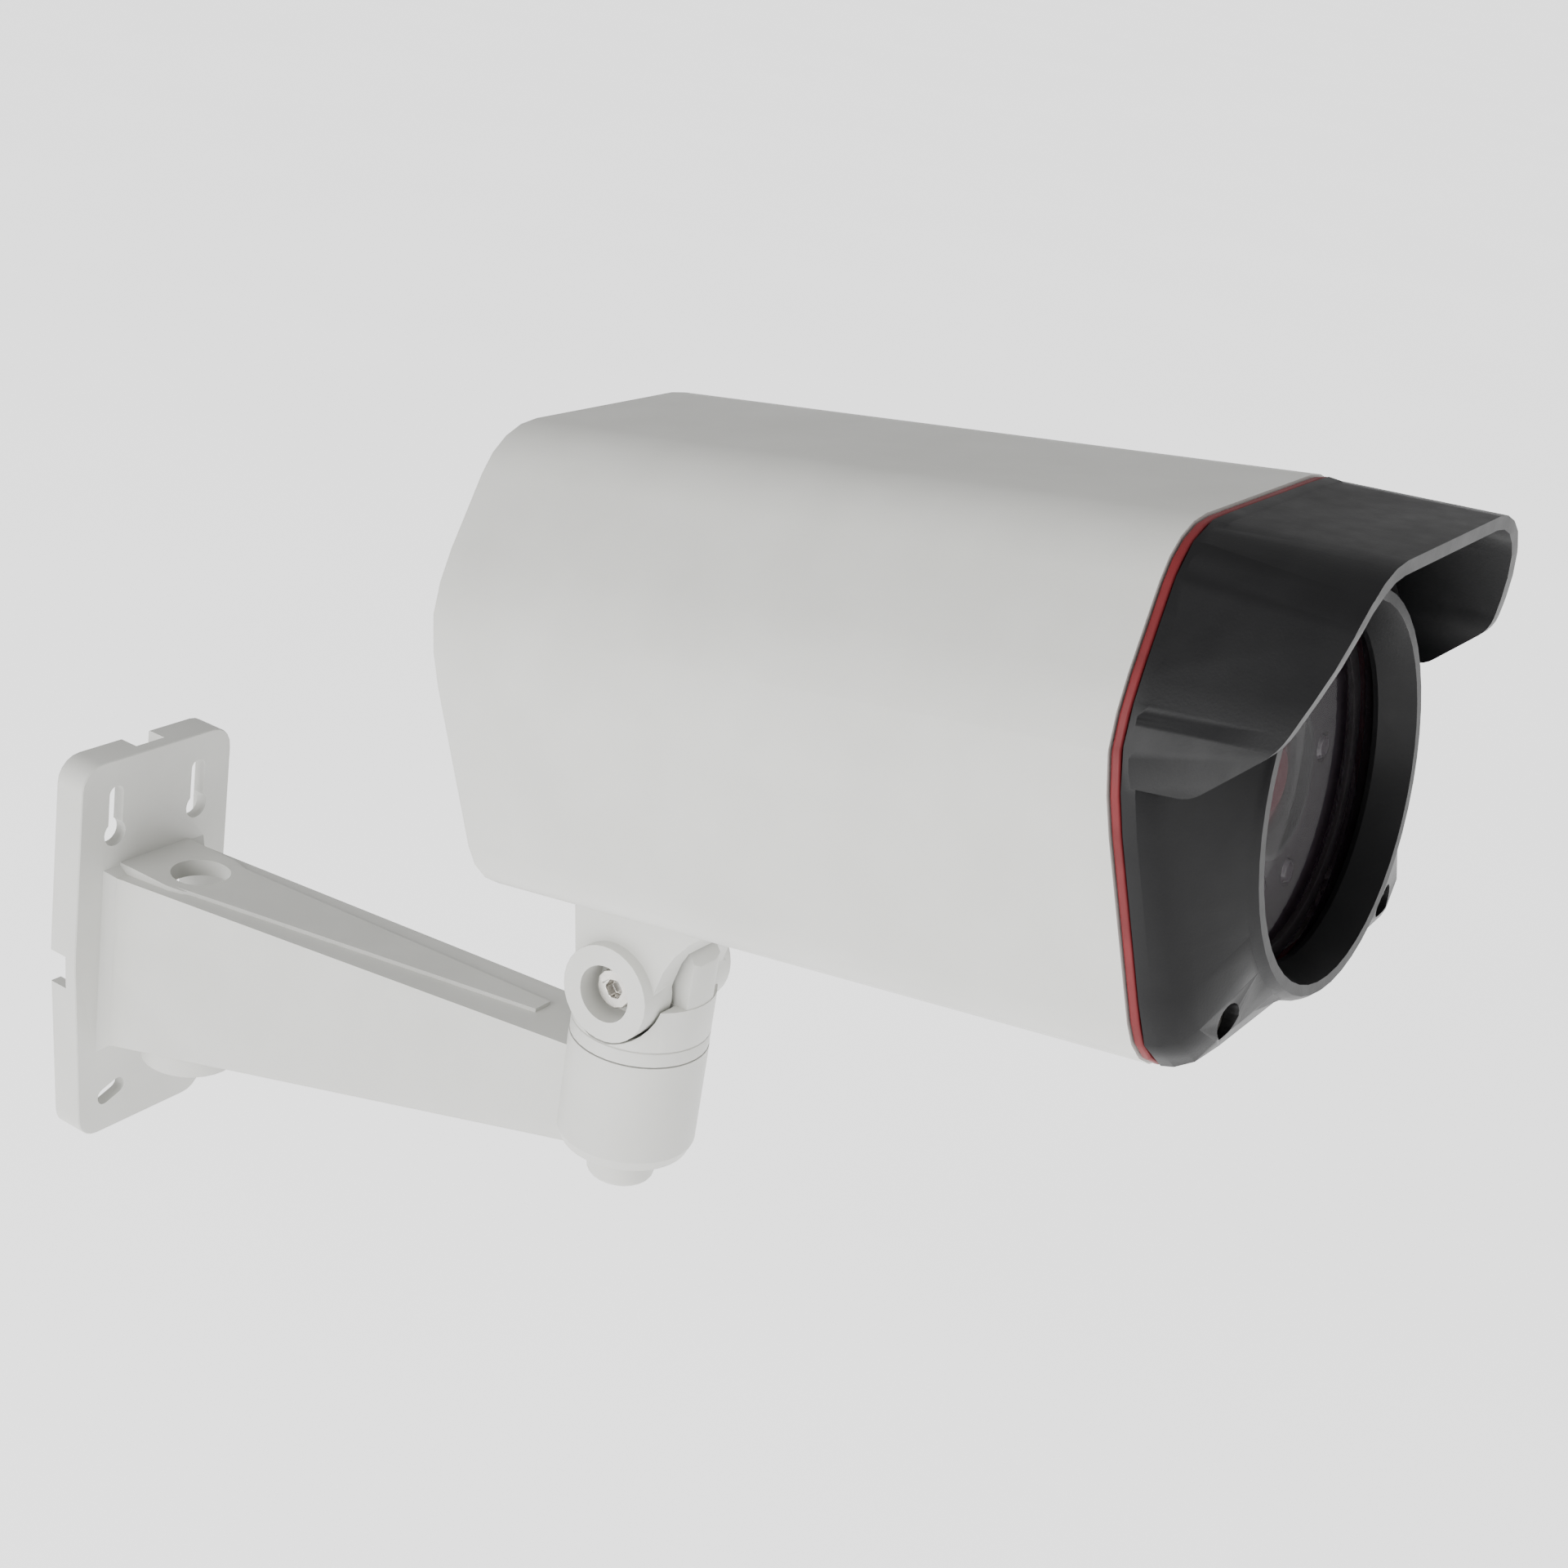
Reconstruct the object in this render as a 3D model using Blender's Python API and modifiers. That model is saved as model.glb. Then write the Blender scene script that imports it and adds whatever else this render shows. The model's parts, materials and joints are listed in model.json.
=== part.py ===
"""Security camera: a bullet housing with a sun hood, on a wall bracket that pans and tilts.

The frame is +X to the right as seen from the front, +Y back into the wall and +Z up, with the
origin at the centre of the wall plate's back face. The head looks along -Y. Bracket pieces are
built in that frame, turret pieces from the pan axis and head pieces from the tilt axis.
"""

from math import atan, atan2, cos, pi, radians, sin, tan

import bmesh
import bpy
from mathutils import Matrix, Vector

MM = 0.001
GAP = 0.3 * MM          # between pieces that rest on each other
RUN = 0.4 * MM          # between pieces that move on each other

# Wall plate
PLATE_HEIGHT = 100 * MM
PLATE_TOP_HALF = 23 * MM
PLATE_LOW_HALF = 19.5 * MM
PLATE_DEPTH = 8.5 * MM
PLATE_WALL = 3 * MM
PLATE_CORNER = 6 * MM
PLATE_BOW = 2 * MM  # how far the sides bow out at mid height
KEYHOLE_X = 12.7 * MM
KEYHOLE_Z = 31.2 * MM
KEYHOLE_RISE = 10 * MM
KEYHOLE_HEAD_R = 3.2 * MM
KEYHOLE_SLOT_R = 2.1 * MM
LOW_SLOT_X = 10.2 * MM
LOW_SLOT_Z = -39.5 * MM
LOW_SLOT_REACH = 2 * MM
LOW_SLOT_R = 2.2 * MM
LOW_SLOT_TURN = radians(20)
NOTCH_WIDTH = 8.6 * MM
NOTCH_DEPTH = 5.2 * MM

# Arm
ARM_REACH = 151.8 * MM  # wall to pan axis
ARM_ROOT_HALF = 14 * MM
ARM_TIP_HALF = 9.4 * MM
ARM_ROOT_TOP = 20.5 * MM
ARM_ROOT_LOW = -25 * MM
ARM_TIP_TOP = 32.6 * MM
ARM_TIP_LOW = 11.5 * MM
ARM_WALL = 2.6 * MM
PANEL_ROOT_HALF = 10.7 * MM
PANEL_TIP_HALF = 2.5 * MM
PANEL_RISE = 0.9 * MM
PANEL_LENGTH = 118 * MM
PAD_HALF = 10.7 * MM
PAD_RISE = 1.6 * MM
CABLE_HOLE_Y = -24 * MM
CABLE_HOLE_R = 7 * MM
LOW_BOSS_R = 11.5 * MM
LOW_BOSS_DROP = 1 * MM
ROOT_FLARE = 2.8 * MM    # the arm widens into the plate

# Pan joint
CUP_R = 14.8 * MM
CUP_TOP = 35.6 * MM
CUP_LOW = 9.5 * MM
CUP_EDGE = 3.5 * MM
CUP_FLOOR = 5 * MM
BORE_R = 10.5 * MM
PAN_BOLT_R = 3 * MM
PAN_HEAD_R = 5 * MM
PAN_HEAD_DEEP = 5 * MM
PAN_CAP_R = 7.3 * MM
PAN_CAP_DROP = 7.5 * MM
PAN_CAP_WALL = 1.8 * MM

# Turret and tilt joint
PIVOT_Z = 50.1 * MM
BAND = 3.4 * MM         # height of the turret's collar on the cup
TONGUE_HALF = 4.5 * MM
EAR_GAP = 1.2 * MM      # tongue to ear, filled by a friction washer
TONGUE_R = 16.4 * MM
HUB_R = 10.4 * MM
HUB_OUT = 14.8 * MM
SHOULDER_TOP = -1.5 * MM  # from the tilt axis
TILT_BOLT_R = 2.5 * MM
TILT_HEAD_R = 4.25 * MM
TILT_HEAD_LONG = 3.5 * MM
TILT_NUT_R = 4.6 * MM
TILT_NUT_LONG = 4 * MM
COUNTERBORE_R = 6.1 * MM
COUNTERBORE_DEEP = 7 * MM

# Head: section of the housing, as corners (half width, height, radius) above the tilt axis
TOP_HALF = 31 * MM
TOP_Z = 115.9 * MM
TOP_R = 19 * MM
MID_HALF = 53.1 * MM
MID_Z = 84.2 * MM
MID_R = 36 * MM
LOW_HALF = 47.4 * MM
LOW_Z = 30 * MM
LOW_R = 11 * MM
SHELL_BACK = 10.7 * MM
SHELL_LENGTH = 136 * MM
SHELL_WALL = 2.2 * MM
FOOT_BACK = 9.6 * MM
FOOT_FRONT = -34 * MM
FOOT_WEB_HALF = 12 * MM
FOOT_FLANGE = 7 * MM
FOOT_ARC_R = 26 * MM
FOOT_SCREW_X = 9 * MM
FOOT_SCREWS_Y = (-8 * MM, -26 * MM)
FOOT_SCREW_R = 2 * MM
RAKE = 6.5 * MM         # both ends lean forward by this much below the shoulder line

# Front end: distances forward of the housing's front edge
GASKET = 2 * MM
BEZEL_EDGE = 7.5 * MM   # where the bezel's side turns into its sloping face
BEZEL_WALL = 2.4 * MM
RIM_FRONT = 19.2 * MM
RIM_R = 35 * MM
OPENING_R = 33 * MM
LIP_R = 30.2 * MM
FACE_Z = 68 * MM        # optical axis above the tilt axis
HOOD_LENGTH = 34.6 * MM
HOOD_CHEEK = 26 * MM    # how far the cheeks reach at their lower edge
HOOD_LOW_Z = 79 * MM
HOOD_WALL = 2.4 * MM
HOOD_DROOP = 2.5 * MM
HOOD_CORNER = 10 * MM
FRONT_SCREWS = ((34 * MM, 38 * MM), (31 * MM, 99 * MM))
SCREW_R = 1.5 * MM
SCREW_HEAD_R = 2.8 * MM
SCREW_HEAD_LONG = 2.2 * MM
POST_R = 4 * MM

# Window and optics
WINDOW_CLEAR = 0.5 * MM
WINDOW_R = OPENING_R - WINDOW_CLEAR
WINDOW_THICK = 2.8 * MM
WINDOW_FRONT = 11.8 * MM
SEAL_THICK = 1.2 * MM
PANEL_FRONT = 6 * MM
PANEL_THICK = 2 * MM
SIGHT_CLEAR = 0.6 * MM  # round the lens where it looks through the front panel
SENSOR_DROP = 19.6 * MM
SENSOR_R = 1.9 * MM
LED_RING_R = 23 * MM
LED_COUNT = 6
LED_R = 2.5 * MM
LENS_FRONT = 8.2 * MM
LENS_HEAD_R = 14 * MM
LENS_HEAD_LONG = 11 * MM
LENS_RIM = 3.5 * MM     # barrel wall round the front glass
LENS_SEAT = 4.3 * MM    # ledge that the front glass rests on, behind the barrel's front
LENS_LIP = 1.2 * MM     # width of the chamfer inside the barrel's front edge
LENS_BULGE = 1 * MM     # front glass's crown, behind the barrel's front
LENS_BODY_R = 11 * MM
LENS_LONG = 44 * MM
RING_R = 15 * MM
BOARD = 1.6 * MM

# Rear end
COVER_THICK = 4.5 * MM
COVER_SUNK = 0.8 * MM   # below the housing's rear edge
REAR_SEAL = 1.2 * MM
GLAND_R = 8 * MM
GLAND_BORE_R = 3.2 * MM
GLAND_LONG = 18 * MM
GLAND_Z = 60 * MM

# Infrared filter changer, between the lens and the sensor
SHUTTLE_HALF = 13 * MM
SHUTTLE_STEP = 12 * MM
CHANGER_Y = 47 * MM     # behind the housing's front edge

# Rest pose of the head
PAN_REST = radians(-1)
TILT_REST = radians(-9)

MATERIALS = {
    "warm_grey_paint": ((0.62, 0.62, 0.59), 0.45, 0.0),
    "black_plastic": ((0.012, 0.012, 0.013), 0.35, 0.0),
    "red_rubber": ((0.20, 0.02, 0.02), 0.55, 0.0),
    "black_rubber": ((0.02, 0.02, 0.02), 0.8, 0.0),
    "steel": ((0.60, 0.58, 0.55), 0.3, 1.0),
    "dark_glass": ((0.03, 0.02, 0.03), 0.05, 0.0),
    "lens_glass": ((0.10, 0.02, 0.04), 0.05, 0.0),
    "panel_plastic": ((0.035, 0.03, 0.035), 0.4, 0.0),
    "circuit_board": ((0.02, 0.12, 0.05), 0.5, 0.0),
    "nylon": ((0.75, 0.75, 0.72), 0.6, 0.0),
    "cast_aluminium": ((0.55, 0.55, 0.56), 0.4, 1.0),
    "led_resin": ((0.25, 0.22, 0.26), 0.2, 0.0),
}
PLANES = {
    "XY": Matrix.Identity(4),
    "XZ": Matrix.Rotation(pi / 2, 4, "X"),
    "YZ": Matrix(((0, 0, 1, 0), (1, 0, 0, 0), (0, 1, 0, 0), (0, 0, 0, 1))),
}
NORMALS = {"XY": Vector((0, 0, 1)), "XZ": Vector((0, 1, 0)), "YZ": Vector((1, 0, 0))}
AXES = {
    "+Z": Matrix.Identity(4),
    "-Z": Matrix.Rotation(pi, 4, "X"),
    "+Y": Matrix.Rotation(-pi / 2, 4, "X"),
    "-Y": Matrix.Rotation(pi / 2, 4, "X"),
    "-X": Matrix.Rotation(-pi / 2, 4, "Y"),
    "+X": Matrix.Rotation(pi / 2, 4, "Y"),
}

for leftover in list(bpy.data.objects):
    bpy.data.objects.remove(leftover, do_unlink=True)
parts = bpy.data.collections.new("security_camera")
cutters = bpy.data.collections.new("cutters")
for collection in (parts, cutters):
    bpy.context.scene.collection.children.link(collection)


def make_material(name):
    colour, roughness, metallic = MATERIALS[name]
    material = bpy.data.materials.new(name)
    material.use_nodes = True
    shader = material.node_tree.nodes["Principled BSDF"]
    shader.inputs["Base Color"].default_value = (*colour, 1)
    shader.inputs["Roughness"].default_value = roughness
    shader.inputs["Metallic"].default_value = metallic
    return material


paints = {name: make_material(name) for name in MATERIALS}


def frame(name, place, turn=(0, 0, 0), parent=None):
    """Empty that carries a body: its origin is on the joint's axis."""
    empty = bpy.data.objects.new(name, None)
    empty.parent = parent
    empty.location = place
    empty.rotation_euler = turn
    parts.objects.link(empty)
    return empty


def part(name, mesh, paint, parent=None):
    """Sub-part that the object keeps."""
    mesh.name = name
    mesh.materials.append(paints[paint])
    mesh.shade_smooth()
    mesh.set_sharp_from_angle(angle=radians(30))
    obj = bpy.data.objects.new(name, mesh)
    obj.parent = parent
    parts.objects.link(obj)
    return obj


def tool(name, mesh, parent=None):
    """Shape that only cuts or joins another."""
    obj = bpy.data.objects.new(name, mesh)
    obj.parent = parent
    obj.hide_render = True
    obj.display_type = "WIRE"
    cutters.objects.link(obj)
    return obj


def combine(obj, operation, *shapes, parent=None):
    """Cut, join or intersect a sub-part with shapes that follow the same body, or another parent."""
    for mesh in shapes:
        name = f"{obj.name}_{operation.lower()}_{len(obj.modifiers)}"
        step = obj.modifiers.new(name, "BOOLEAN")
        step.operation = operation
        step.solver = "EXACT"
        step.object = tool(name, mesh, parent or obj.parent)


def soften(obj, width, segments=2, angle=35):
    step = obj.modifiers.new("edges", "BEVEL")
    step.width = width
    step.segments = segments
    step.limit_method = "ANGLE"
    step.angle_limit = radians(angle)
    step.use_clamp_overlap = True


def to_mesh(bm, name):
    mesh = bpy.data.meshes.new(name)
    bm.to_mesh(mesh)
    bm.free()
    return mesh


def box(low, high):
    low, high = Vector(low), Vector(high)
    bm = bmesh.new()
    place = Matrix.Translation((low + high) / 2) @ Matrix.Diagonal((*(high - low), 1))
    bmesh.ops.create_cube(bm, size=1, matrix=place)
    return to_mesh(bm, "box")


def rod(radius, start, length, axis="-Y", end_radius=None, sides=28):
    """Cylinder or cone frustum from a start point along an axis."""
    bm = bmesh.new()
    place = Matrix.Translation(start) @ AXES[axis] @ Matrix.Translation((0, 0, length / 2))
    tip = radius if end_radius is None else end_radius
    bmesh.ops.create_cone(
        bm, cap_ends=True, segments=sides, radius1=radius, radius2=tip, depth=length, matrix=place
    )
    return to_mesh(bm, "rod")


def evaluated(source):
    """Mesh of an object as it looks with its modifiers; the object is removed."""
    cutters.objects.link(source)
    graph = bpy.context.evaluated_depsgraph_get()
    mesh = bpy.data.meshes.new_from_object(source.evaluated_get(graph))
    bpy.data.objects.remove(source, do_unlink=True)
    return mesh


def placed(mesh, matrix):
    """Mesh welded, put in its place and facing out."""
    bm = bmesh.new()
    bm.from_mesh(mesh)
    bmesh.ops.remove_doubles(bm, verts=bm.verts, dist=0.00001)
    bmesh.ops.transform(bm, matrix=matrix, verts=bm.verts)
    bmesh.ops.recalc_face_normals(bm, faces=bm.faces)
    bm.to_mesh(mesh)
    bm.free()
    return mesh


def slab(plane, outlines, low, high):
    """Flat outline, with any holes, made solid between two positions along the plane's normal."""
    curve = bpy.data.curves.new("outline", "CURVE")
    curve.dimensions = "2D"
    curve.fill_mode = "BOTH"
    curve.extrude = (high - low) / 2
    for outline in outlines:
        spline = curve.splines.new("POLY")
        spline.points.add(len(outline) - 1)
        for point, (u, v) in zip(spline.points, outline):
            point.co = (u, v, 0, 1)
        spline.use_cyclic_u = True
    mesh = evaluated(bpy.data.objects.new("outline", curve))
    return placed(mesh, Matrix.Translation(NORMALS[plane] * (low + high) / 2) @ PLANES[plane])


def turned(profile, place, axis, steps=28):
    """Turned piece: a profile of (radius, position) down its outer side, screwed round an axis."""
    bm = bmesh.new()
    corners = [bm.verts.new((radius, 0, along)) for radius, along in profile]
    pairs = list(zip(corners, corners[1:]))
    if profile[0][0] > 0:
        pairs.append((corners[-1], corners[0]))
    for pair in pairs:
        bm.edges.new(pair)
    source = bpy.data.objects.new("profile", to_mesh(bm, "profile"))
    screw = source.modifiers.new("turn", "SCREW")
    screw.steps = steps
    screw.render_steps = steps
    screw.use_merge_vertices = True
    screw.merge_threshold = 0.00001
    mesh = placed(evaluated(source), Matrix.Translation(place) @ AXES[axis])
    bm = bmesh.new()
    bm.from_mesh(mesh)
    bmesh.ops.dissolve_verts(bm, verts=[vert for vert in bm.verts if len(vert.link_edges) == steps])
    bm.to_mesh(mesh)
    bm.free()
    return mesh


def ring(outer, inner, start, length, axis="-Y", steps=28):
    return turned([(outer, length), (outer, 0), (inner, 0), (inner, length)], start, axis, steps)


def rounded(corners, inset=0.0, steps=4):
    """Outline from corners (u, v, radius), anticlockwise, moved inward and rounded at each corner."""
    points = [Vector(corner[:2]) for corner in corners]
    outline = []
    for i, (_, _, radius) in enumerate(corners):
        before = (points[i] - points[i - 1]).normalized()
        after = (points[(i + 1) % len(points)] - points[i]).normalized()
        bend = atan2(before.x * after.y - before.y * after.x, before.dot(after))
        inward = Vector((-before.y, before.x))
        half = bend / 2
        corner = points[i] + inward * inset - before * inset * tan(half)
        sign = 1 if bend > 0 else -1
        curve = max(radius - sign * inset, 0.3 * MM)
        centre = corner - before * curve * abs(tan(half)) + inward * sign * curve
        for k in range(steps + 1):
            spoke = Matrix.Rotation(bend * k / steps, 2) @ (inward * -sign * curve)
            outline.append(tuple(centre + spoke))
    return outline


def mirrored(corners):
    """Whole outline from the corners of its right half, listed from the top down."""
    left = [(-u, v, radius) for u, v, radius in corners]
    return left + list(corners[::-1])


def wedge(back, front):
    """Tapered block between two upright rectangles, each (y, half width, bottom, top)."""
    bm = bmesh.new()
    bmesh.ops.create_cube(bm, size=2)
    for vert in bm.verts:
        y, half, low, top = back if vert.co.y > 0 else front
        vert.co = (half * vert.co.x, y, top if vert.co.z > 0 else low)
    bmesh.ops.recalc_face_normals(bm, faces=bm.faces)
    return to_mesh(bm, "wedge")


def split(bm):
    """Edge across the mesh at the shoulder line, where the ends start to lean."""
    whole = list(bm.verts) + list(bm.edges) + list(bm.faces)
    bmesh.ops.bisect_plane(bm, geom=whole, dist=0.000001, plane_co=(0, 0, MID_Z), plane_no=(0, 0, 1))


def loft(*stations):
    """Solid through outlines of equally many points, each a list of (x, y, z)."""
    bm = bmesh.new()
    loops = [[bm.verts.new(point) for point in station] for station in stations]
    for first, second in zip(loops, loops[1:]):
        for k in range(len(first)):
            bm.faces.new((first[k - 1], first[k], second[k], second[k - 1]))
    bm.faces.new(loops[0])
    bm.faces.new(loops[-1][::-1])
    split(bm)
    bmesh.ops.recalc_face_normals(bm, faces=bm.faces)
    return to_mesh(bm, "loft")


SECTION = mirrored(((TOP_HALF, TOP_Z, TOP_R), (MID_HALF, MID_Z, MID_R), (LOW_HALF, LOW_Z, LOW_R)))


def lean(z):
    """How far the housing's ends lean forward at a height."""
    return RAKE * max(0, MID_Z - z) / (MID_Z - LOW_Z)


def section(inset, low, high, hollow=None):
    """Slice of the housing's section with its leaning ends, solid or as a band."""
    outlines = [rounded(SECTION, inset)]
    if hollow:
        outlines.append(rounded(SECTION, hollow))
    mesh = slab("XZ", outlines, low, high)
    bm = bmesh.new()
    bm.from_mesh(mesh)
    split(bm)
    for vert in bm.verts:
        vert.co.y -= lean(vert.co.z)
    bm.to_mesh(mesh)
    bm.free()
    return mesh


def spokes(inset, y, sides=48):
    """The section as points at equal angles round the optical axis, leaning like the ends."""
    outline = rounded(SECTION, inset, 8)
    points = []
    for k in range(sides):
        angle = 2 * pi * (k + 0.5) / sides
        ray = Vector((cos(angle), sin(angle)))
        for (u1, v1), (u2, v2) in zip(outline, outline[1:] + outline[:1]):
            a = Vector((u1, v1 - FACE_Z))
            b = Vector((u2, v2 - FACE_Z))
            side = b - a
            cross = ray.x * side.y - ray.y * side.x
            if abs(cross) < 1e-12:
                continue
            far = (a.x * side.y - a.y * side.x) / cross
            share = (a.x * ray.y - a.y * ray.x) / cross
            if far > 0 and 0 <= share <= 1:
                z = FACE_Z + far * ray.y
                points.append((far * ray.x, y - lean(z), z))
                break
    return points


def rim(radius, y, sides=48):
    return [
        (radius * cos(2 * pi * (k + 0.5) / sides), y, FACE_Z + radius * sin(2 * pi * (k + 0.5) / sides))
        for k in range(sides)
    ]


def screw(name, radius, head, head_long, length, place, axis, parent, paint="steel", recess=0.5):
    """Cap screw with a socket: the place is under its head, and the shank runs along the axis."""
    profile = [(0, -head_long), (head, -head_long), (head, 0), (radius, 0), (radius, length), (0, length)]
    obj = part(name, turned(profile[::-1], place, axis, 12), paint, parent)
    back = {"+": "-", "-": "+"}[axis[0]] + axis[1]
    mouth = Vector(place) + AXES[back].to_3x3() @ Vector((0, 0, head_long * 0.4))
    combine(obj, "DIFFERENCE", rod(head * recess, mouth, head_long, back, sides=6))


# ---- Wall bracket: one hollow die casting with plate, arm and cup
PLATE = mirrored((
    (PLATE_TOP_HALF, PLATE_HEIGHT / 2, PLATE_CORNER),
    ((PLATE_TOP_HALF + PLATE_LOW_HALF) / 2 + PLATE_BOW, 0, 20 * PLATE_CORNER),
    (PLATE_LOW_HALF, -PLATE_HEIGHT / 2, PLATE_CORNER),
))
ARM_ROOT = (-PLATE_DEPTH + MM, ARM_ROOT_HALF, ARM_ROOT_LOW, ARM_ROOT_TOP)
ARM_TIP = (-ARM_REACH, ARM_TIP_HALF, ARM_TIP_LOW, ARM_TIP_TOP)


def along_arm(y, inset=0.0, over=0.0):
    """The arm's upright rectangle at a distance from the wall."""
    share = (y - ARM_ROOT[0]) / (ARM_TIP[0] - ARM_ROOT[0])
    half, low, top = (a + (b - a) * share for a, b in zip(ARM_ROOT[1:], ARM_TIP[1:]))
    return (y, half - inset, low + inset, top - inset + over)


bracket = part(
    "wall_bracket", slab("XZ", [rounded(PLATE, 0, 5)], -PLATE_DEPTH, 0), "warm_grey_paint"
)
soften(bracket, 1 * MM, 1, 60)
root = along_arm(-PLATE_DEPTH + MM)
flare = (-PLATE_DEPTH + 1.4 * MM, root[1] + ROOT_FLARE, root[2] - ROOT_FLARE, root[3] + ROOT_FLARE)
cup_profile = (
    (0, CUP_TOP), (CUP_R, CUP_TOP), (CUP_R, CUP_LOW + CUP_EDGE),
    (CUP_R - 0.3 * CUP_EDGE, CUP_LOW + 0.3 * CUP_EDGE), (CUP_R - CUP_EDGE, CUP_LOW), (0, CUP_LOW),
)
panel_end = -PLATE_DEPTH - PANEL_LENGTH
panel_back = (
    -PLATE_DEPTH + 1.8 * MM, PANEL_ROOT_HALF, ARM_ROOT_TOP - 3 * MM, ARM_ROOT_TOP + PANEL_RISE
)
panel_top = along_arm(panel_end)[3]
panel_front = (panel_end, PANEL_TIP_HALF, panel_top - 3 * MM, panel_top + PANEL_RISE)
pad_y = CABLE_HOLE_Y
pad_top = ARM_ROOT_TOP + PAD_RISE + PANEL_RISE
arm = wedge(along_arm(-PLATE_DEPTH + MM), along_arm(-ARM_REACH))
combine(
    bracket, "UNION", arm,
    wedge(flare, along_arm(-PLATE_DEPTH - ROOT_FLARE, 0.3 * MM)),
    turned(cup_profile, (0, -ARM_REACH, 0), "+Z", 48),
    wedge(panel_back, panel_front),
    slab(
        "XY",
        [rounded([
            (-PAD_HALF, pad_y - PAD_HALF, PAD_HALF * 0.97), (PAD_HALF, pad_y - PAD_HALF, PAD_HALF * 0.97),
            (PAD_HALF, -PLATE_DEPTH + 0.7 * MM, 0.3 * MM), (-PAD_HALF, -PLATE_DEPTH + 0.7 * MM, 0.3 * MM),
        ])],
        ARM_ROOT_TOP - 4 * MM, pad_top,
    ),
    rod(LOW_BOSS_R, (0, pad_y, ARM_ROOT_LOW - LOW_BOSS_DROP), 8 * MM, "+Z"),
)
hollow_end = -ARM_REACH + CUP_R + 4 * MM
combine(
    bracket, "DIFFERENCE",
    slab("XZ", [rounded(PLATE, PLATE_WALL, 5)], PLATE_WALL - PLATE_DEPTH, MM),
    wedge(along_arm(2 * MM, ARM_WALL), along_arm(hollow_end, ARM_WALL)),
    rod(BORE_R, (0, -ARM_REACH, CUP_LOW + CUP_FLOOR), CUP_TOP, "+Z", sides=36),
    rod(PAN_BOLT_R + RUN, (0, -ARM_REACH, 0), CUP_TOP - 3 * MM, "+Z", sides=18),
    rod(CABLE_HOLE_R, (0, CABLE_HOLE_Y, -60 * MM), 120 * MM, "+Z", sides=32),
)
for side in (-1, 1):
    x = side * KEYHOLE_X
    combine(
        bracket, "DIFFERENCE",
        rod(KEYHOLE_HEAD_R, (x, MM, KEYHOLE_Z), 12 * MM, sides=20),
        slab(
            "XZ",
            [rounded([
                (x - KEYHOLE_SLOT_R, KEYHOLE_Z, 0.3 * MM), (x + KEYHOLE_SLOT_R, KEYHOLE_Z, 0.3 * MM),
                (x + KEYHOLE_SLOT_R, KEYHOLE_Z + KEYHOLE_RISE + KEYHOLE_SLOT_R, KEYHOLE_SLOT_R * 0.95),
                (x - KEYHOLE_SLOT_R, KEYHOLE_Z + KEYHOLE_RISE + KEYHOLE_SLOT_R, KEYHOLE_SLOT_R * 0.95),
            ], 0, 4)],
            -PLATE_DEPTH - MM, MM,
        ),
    )
    slot = placed(
        slab("XZ", [rounded([
            (-LOW_SLOT_REACH - LOW_SLOT_R, -LOW_SLOT_R, LOW_SLOT_R * 0.95),
            (LOW_SLOT_REACH + LOW_SLOT_R, -LOW_SLOT_R, LOW_SLOT_R * 0.95),
            (LOW_SLOT_REACH + LOW_SLOT_R, LOW_SLOT_R, LOW_SLOT_R * 0.95),
            (-LOW_SLOT_REACH - LOW_SLOT_R, LOW_SLOT_R, LOW_SLOT_R * 0.95),
        ], 0, 4)], -PLATE_DEPTH - MM, MM),
        Matrix.Translation((side * LOW_SLOT_X, 0, LOW_SLOT_Z))
        @ Matrix.Rotation(side * LOW_SLOT_TURN, 4, "Y"),
    )
    edge = side * (PLATE_TOP_HALF + 3 * MM)
    inner = side * (PLATE_TOP_HALF - PLATE_WALL - 2 * MM)
    notch = box(
        (min(edge, inner), -NOTCH_DEPTH, -NOTCH_WIDTH + 0.8 * MM),
        (max(edge, inner), MM, 0.8 * MM),
    )
    combine(bracket, "DIFFERENCE", slot, notch)
combine(
    bracket, "DIFFERENCE",
    box(
        (-NOTCH_WIDTH / 2, -NOTCH_DEPTH, PLATE_HEIGHT / 2 - PLATE_WALL - MM),
        (NOTCH_WIDTH / 2, MM, PLATE_HEIGHT / 2 + MM),
    ),
)
cap_top = CUP_LOW - GAP
part(
    "pan_bolt_cap",
    turned(
        [
            (0, cap_top - PAN_CAP_DROP + PAN_CAP_WALL),
            (PAN_CAP_R - PAN_CAP_WALL, cap_top - PAN_CAP_DROP + PAN_CAP_WALL),
            (PAN_CAP_R - PAN_CAP_WALL, cap_top), (PAN_CAP_R, cap_top),
            (PAN_CAP_R, cap_top - PAN_CAP_DROP + MM), (PAN_CAP_R - MM, cap_top - PAN_CAP_DROP),
            (0, cap_top - PAN_CAP_DROP),
        ],
        (0, -ARM_REACH, 0), "+Z", 24,
    ),
    "warm_grey_paint",
)

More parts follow.
